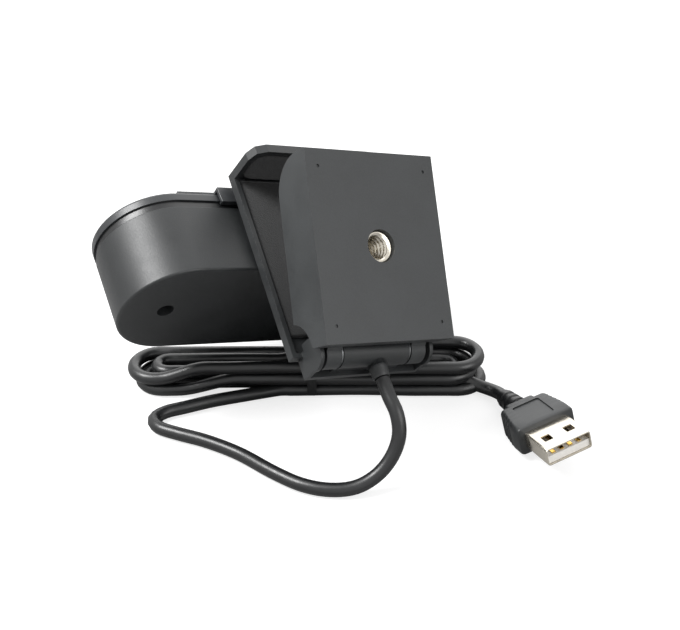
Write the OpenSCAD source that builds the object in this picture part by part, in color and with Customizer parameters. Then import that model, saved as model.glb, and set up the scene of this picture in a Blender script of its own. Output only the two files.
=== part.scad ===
// Webcam with a folding clip and tripod foot, lying on its own tied USB lead.
// Units are millimetres and +Z is up. The origin is on the table, under the
// middle of the webcam. In use the foot is below the head: here it lies on top.

/* [Head] */
// Height of the head, also twice the radius of its round ends
head_h = 32; // [28:0.5:38]
// Length of the head, end to end
head_len = 97; // [86:0.5:116]
// Depth of the rear housing
housing_depth = 19; // [18.6:0.1:23]
// Thickness of the dark band between housing and cover
band_t = 2; // [1.6:0.1:3]
// Thickness of the front cover
cover_t = 2.5; // [2.3:0.1:3.5]
// Wall of the rear housing
wall = 1.6; // [1.2:0.1:2]
// Diameter of the two screw wells in the back
well_d = 4.2; // [4:0.1:5]
// Distance of each screw well from the middle of its round end
well_out = 4.4; // [1:0.1:5]

/* [Lens] */
// Diameter of the lens barrel
lens_d = 10; // [8:0.5:11]
// Outer diameter of the lens ring
ring_d = 19; // [17:0.5:21]
// Diameter of the clear window
window_d = 14; // [12:0.5:15]

/* [Privacy shutter] */
// Width of the sliding shutter
shutter_w = 20; // [16:0.5:21]
// Thickness of the shutter plate
shutter_t = 0.9; // [0.6:0.1:1]

/* [Clip plate] */
// Width of the clip plate
plate_w = 38; // [36:0.5:46]
// Distance from the hinge axis to the lip's outer face
plate_len = 52.8; // [50:0.2:60]
// Thickness of the clip plate's floor
plate_t = 1.2; // [1:0.1:1.6]
// Height of the rim above the floor
rim_h = 1; // [0.6:0.1:1.1]
// Width of the rim
rim_w = 1.2; // [1:0.1:2]
// Height of the lip
lip_h = 13.6; // [10:0.2:18]
// Thickness of the foam pads
pad_t = 0.7; // [0.4:0.05:0.8]

/* [Foot] */
// Width of the foot
foot_w = 37; // [34:0.5:44]
// Distance from the hinge axis to the foot's tip
foot_len = 45.6; // [42:0.2:48]
// Thickness of the foot
foot_t = 12.2; // [11:0.2:12.4]
// Diameter of the thread in the metal insert
thread_d = 6.35; // [6:0.05:6.5]
// Outer diameter of the metal insert
insert_d = 7.8; // [7.4:0.1:9]
// Opening of the foot from the clip plate as it lies
foot_open = 20; // [10:0.5:40]

/* [Hinge] */
// Diameter of the hinge barrel
barrel_d = 7; // [6.4:0.1:7.4]
// Length of the hinge barrel
barrel_len = 28.8; // [26:0.2:30]
// Length of each outer knuckle
knuckle_len = 4.8; // [4:0.1:6]
// Diameter of the hinge pins
pin_d = 2.4; // [2:0.1:3]

/* [Lead] */
// Diameter of the lead
cord_d = 3.4; // [3:0.1:3.8]
// Length of metal shell that shows
shell_out = 9.9; // [9:0.1:12]
// Length of the plug's moulded body
plug_len = 11; // [10:0.5:20]

/* [Hidden] */
$fn = 64;
eps = 0.01;       // how far a cut runs past a face
fit = 0.15;       // gap between pieces that are put together
run = 0.3;        // gap between pieces that move past each other
snug = 0.04;      // radial gap of a pin in its running bore

// How the webcam lies: place of the hinge axis, and its turn from the clip's own axes
hinge_at = [22.4, -28.5, 26.8];
lie = [35, 16, 32.5];
tilt_rest = 6;    // how far the head is tilted away from the clip plate

// Head, measured from the middle of its back face: Y to the lens, Z to the clip
head_y = 26.7;
head_z = -19.1;
head_r = head_h / 2;
arc_x = (head_len - head_h) / 2;
well_x = arc_x + well_out;
band_y = housing_depth;
cover_y = housing_depth + band_t;
front_y = cover_y + cover_t;
band_inset = 0.5;
cover_step = 0.8; // inset of the cover's front edge
lens_z = -2;      // the lens sits off the middle to leave room for the neck
board_y = 7;
board_t = 1.2;
holder_w = 12;
holder_h = 4.2;
boss_d = 7.2;
post_d = 5.4;
boss_end = 8;
mic_x = 24;
light_x = 13;
shutter_x = -22;  // left side of the shutter's hooks

// Neck and tilt axis, inside the head
tilt_u = 11;
tilt_n = 8.5;
lug_d = 7.2;
lug_w = 15.4;
neck_t = 6.4;
ear_t = 2;
slot_y = [6, 15.2];
tilt_y = (head_y + tilt_u) * cos(tilt_rest) + (head_z + tilt_n) * sin(tilt_rest);
tilt_z = -(head_y + tilt_u) * sin(tilt_rest) + (head_z + tilt_n) * cos(tilt_rest);

// Clip plate, from the hinge axis
plate_low = -5.5; // face toward the head
floor_z = plate_low + plate_t;
rim_z = floor_z + rim_h;
plate_y = 1.2;
lip_t = 2.2;
lip_corner = [[0, 3.8], [1.1, 1.1], [3.8, 0]]; // rounding of the lip's corners
pad_gap = 5.6;    // bare floor left between hinge and pad
cheek_in = barrel_len / 2 + 1;
cheek_t = 1;
lobe_r = barrel_d / 2 + 0.4;
lobe_y = -3.6;
web_y = 2.6;      // half the depth of the middle knuckle's web
knuckle_in = barrel_len / 2 - knuckle_len;
washer_t = 0.4;
cord_x = 1;       // the lead leaves a little to one side of the middle
gland_end = 7;

// Foot, from the hinge axis
face_z = 9.6;
inner_z = face_z - foot_t;
foot_y = 1.1;
tip_r = 9;
foot_wall = 1.6;
face_t = 2;
cover_plate_t = 1.4;
grip_t = 0.9;
mid_y = (foot_y + foot_len) / 2;
notch_r = 6.8;
notch_at = [0.6, inner_z - 0.6];
insert_len = 9.5;
dimple_x = 15.3;
dimple_y = 18.2;
screw_x = 13.5;
screw_y = [11, 33];

// Plug: the shell's standard section, the middle of its body's front face, and its turn
shell_w = 12;
shell_h = 4.5;
plug_at = [65.5, -32.9, 6.9];
plug_turn = [11.5, -10.5, -69];
body_w = 15.5;
body_back_w = 13;
body_h = 7.4;
neck_len = 2.5;   // narrow end of the moulded body
boot_len = 8.5;

// Hank of the tied lead
layer = 3.4;
hank_x = [-41.5, 54.5];
hank_y = [-9.5, 6.5];
hank_mid_x = -30;
hank_right_x = 6;
hank_upper_y = -2;
tie_x = 8.3;
tie_w = 2.4;
tie_t = 0.6;

// Route of the lead from the gland, round the front and into the hank
front_route = [[25.5, -33.6, 22.6], [26.9, -37, 20.2], [28.7, -40.3, 17.3], [29.2, -42.6, 13],
    [27.6, -44.5, 8.4], [24.2, -46.5, 4.6], [19.3, -48.2, 2.4], [13.3, -48.4, 1.75],
    [6.8, -46.6, 1.75], [0, -42.1, 1.75], [-8.7, -35, 1.75], [-17, -30.1, 1.75],
    [-24.4, -27, 1.75], [-29.4, -24.5, 1.75], [-31.2, -21, 1.75], [-28.8, -17.9, 1.75],
    [-24, -15.8, 1.75], [-17.3, -13, 1.75], [-9.6, -10.6, 1.75], [-5, -9.2, 1.75]];
// Route of the lead from the hank's end to the plug's boot
tail_route = [[47.5, -5, 3.2], [51, -6.1, 2.3], [53.6, -7.2, 1.9], [55.6, -8.7, 2],
    [57, -10.6, 2.4], [57.7, -12.6, 2.8]];

function unit(v) = v / norm(v);

// Points along a smooth curve through the route, n steps between two points
function smooth(p, n) = let (m = len(p) - 1) concat([for (i = [0 : m - 1], j = [0 : n - 1])
    let (t = j / n, a = p[max(i - 1, 0)], b = p[i], c = p[i + 1], d = p[min(i + 2, m)])
    0.5 * (2 * b + (c - a) * t + (2 * a - 5 * b + 4 * c - d) * t * t
        + (3 * b - a - 3 * c + d) * t * t * t)], [p[m]]);

// A tube of round section swept along points, as one closed body
module sweep(pts, d, sides) {
    m = len(pts);
    dirs = [for (i = [0 : m - 1]) unit(pts[min(i + 1, m - 1)] - pts[max(i - 1, 0)])];
    start = unit(cross(dirs[0], [0, 0, 1]));
    rings = [for (i = 0, s = start; i < m; i = i + 1,
            s = i < m ? unit(s - (s * dirs[i]) * dirs[i]) : s)
        let (w = cross(dirs[i], s)) [for (k = [0 : sides - 1])
            pts[i] + d / 2 * (cos(360 * k / sides) * s + sin(360 * k / sides) * w)]];
    all = [for (r = rings) each r];
    ends = [[for (k = [0 : sides - 1]) k], [for (k = [sides - 1 : -1 : 0]) (m - 1) * sides + k]];
    walls = [for (i = [0 : m - 2], k = [0 : sides - 1])
        let (a = i * sides + k, b = i * sides + (k + 1) % sides)
        each [[a, a + sides, b], [b, a + sides, b + sides]]];
    polyhedron(all, concat(ends, walls));
}

// Places
module on_clip() translate(hinge_at) rotate(lie) children();
module on_head() on_clip() rotate([-tilt_rest, 0, 0]) translate([0, head_y, head_z]) children();
module on_foot() on_clip() rotate([foot_open, 0, 0]) children();
module on_plug() translate(plug_at) rotate(plug_turn) children();

// Building shapes
module box(x, y, z) translate([x[0], y[0], z[0]]) cube([x[1] - x[0], y[1] - y[0], z[1] - z[0]]);
module rod_y(d, y, at = [0, 0]) translate([at[0], y[0], at[1]]) rotate([-90, 0, 0])
    cylinder(d = d, h = y[1] - y[0]);
module rod_x(d, x) translate([x[0], 0, 0]) rotate([0, 90, 0]) cylinder(d = d, h = x[1] - x[0]);
module rod_z(d, z, at = [0, 0]) translate([at[0], at[1], z[0]]) cylinder(d = d, h = z[1] - z[0]);
module both() { children(); mirror([1, 0, 0]) children(); }

// Outline of the head, grown or shrunk, from depth a to depth b
module head_slab(a, b, grow = 0) translate([0, a, 0]) rotate([-90, 0, 0]) linear_extrude(b - a) {
    square([2 * arc_x, head_h + 2 * grow], center = true);
    for (s = [-1, 1]) translate([s * arc_x, 0]) circle(r = head_r + grow, $fn = 96);
}

// A plate with round ends standing along X, from height a to height b
module race(x, y, a, b) translate([0, 0, a]) linear_extrude(b - a) {
    r = (y[1] - y[0]) / 2;
    translate([x[0] + r, y[0]]) square([x[1] - x[0] - 2 * r, 2 * r]);
    for (c = [x[0] + r, x[1] - r]) translate([c, y[0] + r]) circle(r = r);
}

// ---- Head ----

module rear_housing() color("#333536") on_head() difference() {
    union() {
        difference() {
            head_slab(0, housing_depth);
            head_slab(wall, housing_depth + eps, -wall);
        }
        both() rod_y(boss_d, [wall - eps, boss_end], [well_x, 0]);
        for (x = [-27, 27], z = [-11, 1]) rod_y(3.6, [wall - eps, board_y], [x, z]);
        both() translate([lug_w / 2 + run, 0, 0])
            box([0, ear_t], [tilt_u - 3.2, tilt_u + 3.2], [tilt_n - 3, head_r - wall + eps]);
    }
    both() rod_y(well_d, [-eps, 6], [well_x, 0]);
    both() rod_y(2.2, [5, boss_end + eps], [well_x, 0]);
    translate([0, tilt_u, tilt_n]) rod_x(pin_d + 2 * 0.01, [-20, 20]);
    box([-lug_w / 2 - run, lug_w / 2 + run], slot_y, [head_r - wall - 1, head_r + 1]);
}

module front_frame() color("#1c1d1e") on_head() difference() {
    union() {
        head_slab(band_y, cover_y, -band_inset);
        both() rod_y(post_d, [boss_end + fit, band_y + eps], [well_x, 0]);
    }
    both() rod_y(1.6, [boss_end, 17], [well_x, 0]);
    rod_y(lens_d + 2 * fit, [band_y - 1, cover_y + 1], [0, lens_z]);
    both() rod_y(4 + 2 * fit, [band_y - 1, cover_y + 1], [mic_x, 0]);
    both() rod_y(2 + 2 * fit, [band_y - 1, cover_y + 1], [light_x, lens_z]);
}

module front_cover() color("#2a2b2c") on_head() difference() {
    union() {
        head_slab(cover_y, front_y - cover_step);
        head_slab(front_y - cover_step - eps, front_y, -cover_step);
    }
    rod_y(window_d - 2, [cover_y - 1, front_y + 1], [0, lens_z]);
    rod_y(ring_d + 2 * fit, [front_y - 1.6, front_y + 1], [0, lens_z]);
    both() for (i = [-2 : 2], j = [-1 : 1])
        rod_y(0.9, [cover_y - 1, front_y + 1], [mic_x + 2 * i, 2 * j]);
    both() rod_y(2 + 2 * fit, [cover_y - 1, front_y + 1], [light_x, lens_z]);
}

module lens_ring() color("#6f7173") on_head() difference() {
    rod_y(ring_d, [front_y - 1.6, front_y - 0.1], [0, lens_z]);
    rod_y(window_d + 2 * fit, [front_y - 0.9, front_y + 1], [0, lens_z]);
    rod_y(window_d - 2, [front_y - 3, front_y], [0, lens_z]);
}

module lens_window() color("#101214") on_head()
    rod_y(window_d, [front_y - 0.9 + eps, front_y - 0.2], [0, lens_z]);

module lens_barrel() color("#17181a") on_head() difference() {
    rod_y(lens_d, [board_y + board_t + holder_h, cover_y + 0.4], [0, lens_z]);
    rod_y(lens_d - 2.4, [cover_y - 1.4, cover_y + 1], [0, lens_z]);
    rod_y(lens_d - 4.5, [board_y, cover_y], [0, lens_z]);
}

module lens_glass() color("#27303f") on_head()
    rod_y(lens_d - 2.4 - 2 * 0.05, [cover_y - 1.4 + eps, cover_y - 0.1], [0, lens_z]);

module lens_holder() color("#222325") on_head() difference() {
    translate([0, 0, lens_z])
        box([-holder_w / 2, holder_w / 2], [board_y + board_t, board_y + board_t + holder_h],
            [-holder_w / 2, holder_w / 2]);
    translate([0, 0, lens_z]) box([-4.6, 4.6], [board_y, board_y + board_t + 2], [-4.6, 4.6]);
    rod_y(lens_d - 4.5, [board_y, board_y + 10], [0, lens_z]);
}

module main_board() color("#2f6b3f") on_head()
    box([-30, 30], [board_y, board_y + board_t], [-13, tilt_n - lug_d / 2 - 0.6]);

module image_sensor() color("#505358") on_head() translate([0, 0, lens_z])
    box([-3.6, 3.6], [board_y + board_t, board_y + board_t + 0.9], [-3, 3]);

module microphones() color("#b9b5a8") on_head() both()
    rod_y(4, [band_y - 3, cover_y - 0.2], [mic_x, 0]);

module light_pipes() color("#e8eef2") on_head() both()
    rod_y(2, [board_y + board_t + 6, front_y - 0.1], [light_x, lens_z]);

module housing_screws() color("#8d9092") on_head() both() difference() {
    union() {
        rod_y(3.6, [4.6, 6], [well_x, 0]);
        rod_y(1.5, [6 - eps, 15], [well_x, 0]);
    }
    for (a = [0, 90]) translate([well_x, 0, 0]) rotate([0, a, 0])
        box([-1.1, 1.1], [4, 5.3], [-0.25, 0.25]);
}

module tilt_pin() color("#9a9da0") on_head() translate([0, tilt_u, tilt_n])
    rod_x(pin_d, [-lug_w / 2 - run - ear_t, lug_w / 2 + run + ear_t]);

module privacy_shutter() color("#2b2c2d") on_head() {
    y = [front_y + fit, front_y + fit + shutter_t];
    x = [shutter_x, shutter_x + shutter_w / 2];
    hook_z = head_r + 0.2;
    box([x[1] - shutter_w, x[1]], y, [cover_step - head_r, head_r - cover_step]);
    box(x, y, [-hook_z - 1, hook_z + 1]);
    for (s = [0, 1]) mirror([0, 0, s]) {
        box(x, [cover_y - 1, y[1]], [hook_z, hook_z + 1]);
        box(x, [cover_y - 1, cover_y - 0.3], [head_r - band_inset + 0.2, hook_z + eps]);
    }
}

// ---- Clip plate, neck and hinge ----

module clip_plate() color("#3a3b3c") on_clip() difference() {
    union() {
        // tray, open toward the hinge between the cheeks
        difference() {
            box([-plate_w / 2, plate_w / 2], [plate_y, plate_len], [plate_low, rim_z]);
            box([-cheek_in, cheek_in], [0, plate_y + rim_w + eps], [floor_z, rim_z + 1]);
        }
        // lip with cut corners
        translate([0, plate_len, 0]) rotate([90, 0, 0]) linear_extrude(lip_t) polygon([
            [-plate_w / 2, plate_low], [plate_w / 2, plate_low],
            for (c = lip_corner) [plate_w / 2 - c.x, plate_low + lip_h - c.y],
            for (c = [lip_corner[2], lip_corner[1], lip_corner[0]])
                [c.x - plate_w / 2, plate_low + lip_h - c.y]]);
        // floor of the hinge lobe, its cheeks and the middle knuckle
        box([-cheek_in - cheek_t, cheek_in + cheek_t], [lobe_y, plate_y + eps],
            [plate_low, plate_low + plate_t]);
        both() translate([cheek_in, 0, 0]) {
            rod_x(2 * lobe_r, [0, cheek_t]);
            box([0, cheek_t], [lobe_y, lobe_r], [plate_low, 0]);
        }
        rod_x(barrel_d, [-knuckle_in, knuckle_in]);
        box([-knuckle_in, knuckle_in], [-web_y, web_y], [plate_low, 0]);
    }
    // tray floor
    box([rim_w - plate_w / 2, plate_w / 2 - rim_w], [plate_y + rim_w, plate_len - lip_t],
        [floor_z, rim_z + 1]);
    // pocket of the lip pad
    translate([0, plate_len - lip_t + 0.8, 0]) rotate([90, 0, 0]) linear_extrude(2) polygon([
        [rim_w - plate_w / 2, floor_z], [plate_w / 2 - rim_w, floor_z],
        for (c = lip_corner) [plate_w / 2 - rim_w - c.x, plate_low + lip_h - rim_w - c.y],
        for (c = [lip_corner[2], lip_corner[1], lip_corner[0]])
            [c.x + rim_w - plate_w / 2, plate_low + lip_h - rim_w - c.y]]);
    // bores of the two hinge pins
    both() rod_x(pin_d + 2 * 0.01, [knuckle_in - 4, cheek_in + cheek_t / 2]);
    // socket of the lead's gland
    translate([cord_x, -barrel_d / 2 - 1, 0]) rotate([-90, 0, 0]) cylinder(d = 4.4, h = 3);
    // holes of the neck screws
    both() rod_z(1.8, [plate_low - 1, floor_z + 1], [5, tilt_y]);
}

module neck_lug() color("#2e2f30") on_clip() difference() {
    union() {
        translate([0, tilt_y, tilt_z]) rod_x(lug_d, [-lug_w / 2, lug_w / 2]);
        box([-lug_w / 2, lug_w / 2], [tilt_y - neck_t / 2, tilt_y + neck_t / 2], [tilt_z, plate_low]);
    }
    translate([0, tilt_y, tilt_z]) rod_x(pin_d + 2 * snug, [-20, 20]);
    both() rod_z(1.5, [plate_low - 6, plate_low + 1], [5, tilt_y]);
}

module neck_screws() color("#8d9092") on_clip() both() {
    rod_z(1.5, [plate_low - 5, floor_z + eps], [5, tilt_y]);
    rod_z(3, [floor_z, floor_z + 0.4], [5, tilt_y]);
}

module plate_pad() color("#1b1c1d") on_clip() difference() {
    box([rim_w + fit - plate_w / 2, plate_w / 2 - rim_w - fit],
        [plate_y + pad_gap, plate_len - lip_t - fit], [floor_z, floor_z + pad_t]);
    both() rod_z(3.4, [floor_z - 1, floor_z + 0.5], [5, tilt_y]);
}

module lip_pad() color("#1b1c1d") on_clip() {
    x = plate_w / 2 - rim_w - fit;
    top = plate_low + lip_h - rim_w - fit;
    translate([0, plate_len - lip_t + 0.8, 0]) rotate([90, 0, 0]) linear_extrude(pad_t) polygon([
        [-x, floor_z + pad_t + fit], [x, floor_z + pad_t + fit],
        for (c = lip_corner) [x - c.x, top - c.y],
        for (c = [lip_corner[2], lip_corner[1], lip_corner[0]]) [c.x - x, top - c.y]]);
}

module hinge_pins() color("#9a9da0") on_clip() both()
    rod_x(pin_d, [knuckle_in - 4 + 0.1, cheek_in + cheek_t / 2 - 0.05]);

module friction_washers() color("#6c6f72") on_clip() both() difference() {
    rod_x(barrel_d - 0.6, [knuckle_in, knuckle_in + washer_t]);
    rod_x(pin_d + 0.2, [knuckle_in - 1, knuckle_in + 1]);
}

// ---- Foot ----

// Side profile of the foot, Y along it and Z to its outer face
module foot_profile(inset = 0) {
    n = 10;
    tip = [for (i = [0 : n]) let (a = -90 + 90 * i / n)
        [foot_len - tip_r + (tip_r - inset) * cos(a), inner_z + tip_r + (tip_r - inset) * sin(a)]];
    difference() {
        polygon(concat([[foot_y + inset, face_z - inset], [foot_y + inset, inner_z + inset]], tip,
            [[foot_len - inset, face_z - inset]]));
        translate(notch_at) circle(r = notch_r + inset);
        circle(r = lobe_r + run + inset);
    }
}

// A foot section from x = a to x = b
module foot_slab(a, b, inset = 0) translate([a, 0, 0]) rotate([90, 0, 90])
    linear_extrude(b - a) foot_profile(inset);

cover_y0 = notch_at.x + notch_r + foot_wall;
cover_y1 = foot_len - tip_r;
cover_x = foot_w / 2 - foot_wall - fit;

module foot_shell() color("#3f4142") on_foot() difference() {
    union() {
        difference() {
            foot_slab(-foot_w / 2, foot_w / 2);
            difference() {
                foot_slab(foot_wall - foot_w / 2, foot_w / 2 - foot_wall, foot_wall);
                box([-50, 50], [-1, 50], [face_z - face_t, face_z]);
            }
            box([foot_wall - foot_w / 2, foot_w / 2 - foot_wall], [cover_y0, cover_y1],
                [inner_z - 1, inner_z + foot_wall + eps]);
        }
        // boss of the metal insert and the posts of the cover screws
        rod_z(insert_d + 4, [inner_z + cover_plate_t + fit, face_z - face_t + eps], [0, mid_y]);
        for (y = screw_y) both()
            rod_z(4.6, [inner_z + cover_plate_t + fit, face_z - face_t + eps], [screw_x, y]);
        // arms of the outer knuckles
        both() translate([knuckle_in + washer_t + fit, 0, 0]) {
            rod_x(barrel_d, [0, knuckle_len - washer_t - fit]);
            rotate([90, 0, 90]) linear_extrude(knuckle_len - washer_t - fit)
                polygon([[0, -1.2], [foot_y + 5, 1.5], [foot_y + 8, 3], [foot_y + 8, face_z - 1],
                    [foot_y, face_z - 1], [foot_y, 4], [-barrel_d / 2 + 0.3, 1]]);
        }
    }
    rod_z(insert_d, [face_z - insert_len, face_z + 1], [0, mid_y]);
    for (y = screw_y) both() rod_z(1.5, [inner_z - 1, inner_z + 7], [screw_x, y]);
    both() rod_x(pin_d + 2 * snug, [knuckle_in, 20]);
    for (x = [-dimple_x, dimple_x], y = [mid_y - dimple_y, mid_y + dimple_y])
        rod_z(0.8, [face_z - 0.3, face_z + 1], [x, y]);
    // room for the middle knuckle
    rod_x(barrel_d + 2 * run, [-knuckle_in - washer_t, knuckle_in + washer_t]);
}

module foot_cover() color("#353738") on_foot() difference() {
    box([-cover_x, cover_x], [cover_y0 + fit, cover_y1 - fit], [inner_z, inner_z + cover_plate_t]);
    box([-cover_x + 2, cover_x - 2], [cover_y0 + 7.6, cover_y1 - 7.6], [inner_z - 1, inner_z + 0.6]);
    for (y = screw_y) both() rod_z(1.9, [inner_z - 1, inner_z + 2], [screw_x, y]);
    for (y = screw_y) both() rod_z(3.4, [inner_z - 1, inner_z + 0.7], [screw_x, y]);
}

module foot_grip() color("#202122") on_foot()
    box([-cover_x + 2 + fit, cover_x - 2 - fit], [cover_y0 + 7.6 + fit, cover_y1 - 7.6 - fit],
        [inner_z - grip_t + 0.6, inner_z + 0.6]);

module foot_screws() color("#8d9092") on_foot() for (y = screw_y) both() {
    rod_z(3, [inner_z + 0.1, inner_z + 0.7], [screw_x, y]);
    rod_z(1.5, [inner_z + 0.6, inner_z + 6.5], [screw_x, y]);
}

module thread_insert() color("#d9d4ca") on_foot() difference() {
    rod_z(insert_d, [face_z - insert_len, face_z - 1], [0, mid_y]);
    rod_z(thread_d, [face_z - insert_len + 1.2, face_z], [0, mid_y]);
}

// ---- Lead ----

module cable_gland() color("#262728") on_clip() translate([cord_x, 0, 0]) rotate([90, 0, 0])
    difference() {
        union() {
            translate([0, 0, barrel_d / 2 - 1.9]) cylinder(d = 4.4, h = 2.4);
            translate([0, 0, barrel_d / 2 + 0.4]) cylinder(d1 = 4.8, d2 = 4, h = gland_end - 3.9);
        }
        cylinder(d = cord_d + 0.1, h = gland_end + 1);
    }

module cable_front() color("#2c2d2e") sweep(smooth(front_route, 2), cord_d, 8);

module cable_tail() color("#2c2d2e") sweep(smooth(tail_route, 2), cord_d, 8);

module hank_outline(grow) {
    race([hank_x[0] - grow, hank_x[1] + grow], [hank_y[0] - grow, hank_y[1] + grow],
        0, 2 * layer);
    race([hank_mid_x - grow, hank_x[1] + grow], [hank_y[0] - grow, hank_upper_y + grow],
        2 * layer - eps, 3 * layer);
    race([hank_right_x - grow, hank_x[1] + grow], [hank_y[0] - grow, hank_y[1] + grow],
        2 * layer - eps, 3 * layer);
}

module cable_hank() color("#2c2d2e") difference() {
    hank_outline(0);
    difference() {
        box([tie_x - tie_w / 2 - fit, tie_x + tie_w / 2 + fit], [-20, 20], [-1, 20]);
        box([0, 20], [hank_y[0] + tie_t + fit, hank_y[1] - tie_t - fit],
            [tie_t + fit, 3 * layer - tie_t - fit]);
    }
}

module cable_tie() color("#1d1e1f") difference() {
    box([tie_x - tie_w / 2, tie_x + tie_w / 2], hank_y, [0, 3 * layer]);
    box([0, 20], [hank_y[0] + tie_t, hank_y[1] - tie_t], [tie_t, 3 * layer - tie_t]);
}

module plug_boot() color("#2c2d2e") on_plug() {
    translate([-plug_len - neck_len - boot_len, 0, 0]) rotate([0, 90, 0]) {
        cylinder(d1 = 4.2, d2 = 5.4, h = boot_len);
        for (i = [0 : 2]) translate([0, 0, 1.6 + 2.5 * i]) cylinder(d = 5 + 0.4 * i, h = 1.2);
    }
}

module plug_body() color("#333536") on_plug() {
    translate([0, 0, -body_h / 2]) linear_extrude(body_h) polygon([
        [0, -body_w / 2], [0, body_w / 2], [-4, body_w / 2],
        [-plug_len, body_back_w / 2], [-plug_len, -body_back_w / 2], [-4, -body_w / 2]]);
    box([-plug_len - neck_len, -plug_len + eps], [-4.6, 4.6], [0.5 - body_h / 2, body_h / 2 - 0.5]);
}

module plug_shell() color("#d8d2c8") on_plug() difference() {
    box([0, shell_out], [-shell_w / 2, shell_w / 2], [-shell_h / 2, shell_h / 2]);
    box([-eps, shell_out + 1], [0.3 - shell_w / 2, shell_w / 2 - 0.3],
        [0.3 - shell_h / 2, shell_h / 2 - 0.3]);
    for (z = [-1, 1], y = [-3.3, 3.3]) translate([0, y, z * shell_h / 2])
        box([4.2, 6.7], [-1.15, 1.15], [-0.5, 0.5]);
}

module plug_insert() color("#f2f0ec") on_plug()
    box([0, shell_out - 0.6], [0.35 - shell_w / 2, shell_w / 2 - 0.35], [0.35 - shell_h / 2, -0.05]);

module plug_contacts() color("#d9b25c") on_plug() for (i = [-1.5 : 1.5])
    translate([0, 2.3 * i, -0.05]) box([1, shell_out - 1.2], [-0.5, 0.5], [0, 0.25]);

rear_housing();
front_frame();
front_cover();
lens_ring();
lens_window();
lens_barrel();
lens_glass();
lens_holder();
main_board();
image_sensor();
microphones();
light_pipes();
housing_screws();
tilt_pin();
privacy_shutter();
clip_plate();
neck_lug();
neck_screws();
plate_pad();
lip_pad();
hinge_pins();
friction_washers();
foot_shell();
foot_cover();
foot_grip();
foot_screws();
thread_insert();
cable_gland();
cable_front();
cable_hank();
cable_tie();
cable_tail();
plug_boot();
plug_body();
plug_shell();
plug_insert();
plug_contacts();
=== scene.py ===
"""Looks of a clip-on webcam with a folding clip, a tripod foot and its tied USB lead.

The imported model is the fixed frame. Pieces whose solid already has the right shape keep it and get a
finish and soft edges here; the lead, its tie, the plug, the pads and the thread are modelled in full.
"""

import logging
import math
from dataclasses import dataclass, field
from enum import Enum

import bpy
from mathutils import Euler, Matrix, Vector


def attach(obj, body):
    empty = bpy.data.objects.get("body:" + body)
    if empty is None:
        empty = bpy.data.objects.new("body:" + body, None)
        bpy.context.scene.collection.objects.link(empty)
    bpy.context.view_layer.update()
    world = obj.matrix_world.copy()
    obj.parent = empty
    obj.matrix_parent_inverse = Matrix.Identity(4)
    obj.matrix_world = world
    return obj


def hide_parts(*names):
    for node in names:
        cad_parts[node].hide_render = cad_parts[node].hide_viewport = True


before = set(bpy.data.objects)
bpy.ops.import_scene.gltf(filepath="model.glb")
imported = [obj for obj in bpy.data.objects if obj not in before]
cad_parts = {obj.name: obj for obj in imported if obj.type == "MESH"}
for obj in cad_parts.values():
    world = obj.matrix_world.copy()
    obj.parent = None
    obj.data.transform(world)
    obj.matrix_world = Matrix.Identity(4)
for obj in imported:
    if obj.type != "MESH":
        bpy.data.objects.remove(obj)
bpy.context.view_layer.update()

log = logging.getLogger("webcam")
MM = 0.001

# From how many degrees an edge is drawn sharp, and from how many it takes a round
SHARP_ANGLE = 40
ROUND_ANGLE = 35
# Points nearer than this, in millimetres, are joined before an edge is rounded
WELD = 0.002
# How a finish varies: the size of its patches in millimetres, how many times finer than the grain ground
# streaks are across their run, and how far its roughness strays either way
PATCH = 9
STREAK = 12.0
ROUGHNESS_SPREAD = 0.06

# Places, as the part has them: millimetres and degrees
HINGE_AT = (22.4, -28.5, 26.8)
LIE = (35, 16, 32.5)
FOOT_OPEN = 20
TILT_REST = 6
HEAD_AT = (0, 26.7, -19.1)
PLUG_AT = (65.5, -32.9, 6.9)
PLUG_TURN = (11.5, -10.5, -69)


class Body(str, Enum):
    """Bodies that the pieces made here ride on."""

    CLIP = "clip"
    FOOT = "foot"
    HEAD = "head"


def place(at: tuple, turn: tuple) -> Matrix:
    """Makes the matrix of a piece's own axes.

    Args:
        at: the place of its origin, in millimetres.
        turn: its turns about X, Y and Z, in degrees.

    Returns:
        The matrix, in metres.
    """
    return Matrix.Translation(Vector(at) * MM) @ Euler([math.radians(a) for a in turn]).to_matrix().to_4x4()


CLIP_AXES = place(HINGE_AT, LIE)
FOOT_AXES = CLIP_AXES @ place((0, 0, 0), (FOOT_OPEN, 0, 0))
PLUG_AXES = place(PLUG_AT, PLUG_TURN)
HEAD_AXES = CLIP_AXES @ place((0, 0, 0), (-TILT_REST, 0, 0)) @ place(HEAD_AT, (0, 0, 0))


# ---- Finishes ----


def linear(colour: str) -> tuple[float, float, float, float]:
    """Turns an sRGB hex colour to linear light.

    Args:
        colour: six hex digits after a #.

    Returns:
        Red, green, blue and alpha.
    """
    parts = [int(colour[i : i + 2], 16) / 255 for i in (1, 3, 5)]
    return (*[c / 12.92 if c <= 0.04045 else ((c + 0.055) / 1.055) ** 2.4 for c in parts], 1.0)


def add(tree: bpy.types.NodeTree, kind: str, links: dict | None = None, **settings) -> bpy.types.Node:
    """Adds a node with its settings and links.

    Args:
        tree: the node tree.
        kind: the node's type name.
        links: for each input, by name or number, a socket to link or a value to set.
        settings: the node's own properties.

    Returns:
        The node.
    """
    node = tree.nodes.new(kind)
    for name, value in settings.items():
        setattr(node, name, value)
    for key, value in (links or {}).items():
        if isinstance(value, bpy.types.NodeSocket):
            tree.links.new(value, node.inputs[key])
        else:
            node.inputs[key].default_value = value
    return node


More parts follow.
